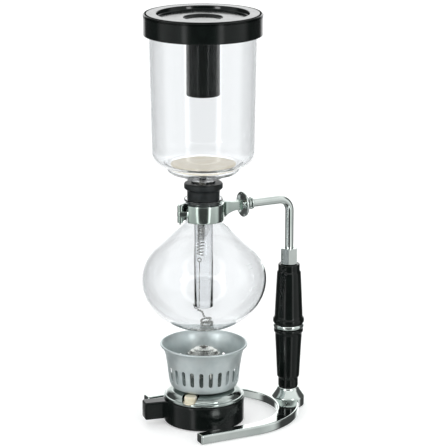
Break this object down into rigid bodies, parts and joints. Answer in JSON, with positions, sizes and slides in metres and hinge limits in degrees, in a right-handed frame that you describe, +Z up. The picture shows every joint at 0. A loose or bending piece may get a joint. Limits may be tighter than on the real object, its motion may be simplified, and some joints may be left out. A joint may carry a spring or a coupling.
{
  "type": "siphon coffee brewer",
  "caption": "Table siphon coffee brewer: a glass globe in a neck clamp on a horseshoe stand, a glass upper bowl with lid, and a spirit burner under it.",
  "frame": {"origin": "on the table under the common axis of the two glass chambers, at the middle of the burner's underside", "axes": "+Z up along the chambers' axis, +X towards the post that carries the clamp arm"},
  "size_m": [0.1427, 0.111, 0.335],
  "materials": {
    "chrome": "bright plate",
    "steel": "bright rolled",
    "aluminium": "satin spun",
    "black_plastic": "moulded gloss",
    "rubber": "matt",
    "glass": "clear, blown",
    "filter_cotton": "flannel",
    "wick_cotton": "twisted yarn",
    "ivory_nylon": "knurled"
  },
  "bodies": {
    "root": {"horseshoe_base": "chrome", "base_nut": "steel", "base_washer": "steel", "lower_grip": "black_plastic", "grip_ring": "chrome", "upper_grip": "black_plastic", "grip_nut": "chrome", "arm_rod": "chrome", "arm_collar": "chrome", "rear_band": "chrome", "hinge_pin": "chrome", "globe_lower_half": "glass", "globe_upper_half": "glass"},
    "front_clamp": {"front_band": "chrome"},
    "clamp_nut": {"clamp_nut": "chrome"},
    "upper_bowl": {"upper_bowl": "glass", "stopper": "rubber", "hook_ring": "steel", "hook_wire": "steel", "chain_run": "steel", "chain_heap": "steel"},
    "filter": {"filter_cloth": "filter_cotton", "filter_upper_plate": "steel", "filter_lower_plate": "steel", "filter_spring": "steel"},
    "lid": {"lid": "black_plastic"},
    "burner": {"burner_tray": "black_plastic", "fuel_reservoir": "steel", "reservoir_seal": "rubber", "reservoir_cover": "chrome", "burner_head": "steel", "wick_tube": "steel"},
    "windshield": {"windshield": "aluminium"},
    "wick": {"wick": "wick_cotton"},
    "filler_cap": {"filler_cap": "ivory_nylon"}
  },
  "joints": [
    {"name": "clamp_hinge", "type": "hinge", "parent": "root", "child": "front_clamp", "pos_m": [-0.0205, 0, 0.1753], "axis": [0, 0, -1], "range_deg": [0, 40]},
    {"name": "clamp_nut_turn", "type": "hinge", "parent": "root", "child": "clamp_nut", "pos_m": [0.0374, 0, 0.177], "axis": [1, 0, 0], "range_deg": [0, 540]},
    {"name": "bowl_lift", "type": "slide", "parent": "root", "child": "upper_bowl", "axis": [0, 0, 1], "range_m": [0, 0.125]},
    {"name": "filter_lift", "type": "slide", "parent": "upper_bowl", "child": "filter", "axis": [0, 0, 1], "range_m": [0, 0.008], "stiffness_N_per_m": 40, "springref_m": -0.012, "deforming": ["filter_spring"]},
    {"name": "lid_lift", "type": "slide", "parent": "upper_bowl", "child": "lid", "axis": [0, 0, 1], "range_m": [0, 0.085]},
    {"name": "burner_slide", "type": "slide", "parent": "root", "child": "burner", "axis": [-1, 0, 0], "range_m": [0, 0.13]},
    {"name": "windshield_lift", "type": "slide", "parent": "burner", "child": "windshield", "axis": [0, 0, 1], "range_m": [0, 0.01]},
    {"name": "wick_raise", "type": "slide", "parent": "burner", "child": "wick", "axis": [0, 0, 1], "range_m": [0, 0.004]},
    {"name": "filler_turn", "type": "hinge", "parent": "burner", "child": "filler_cap", "pos_m": [-0.0201, -0.0168, 0.0215], "axis": [0, 0, 1], "range_deg": [0, 540]}
  ]
}
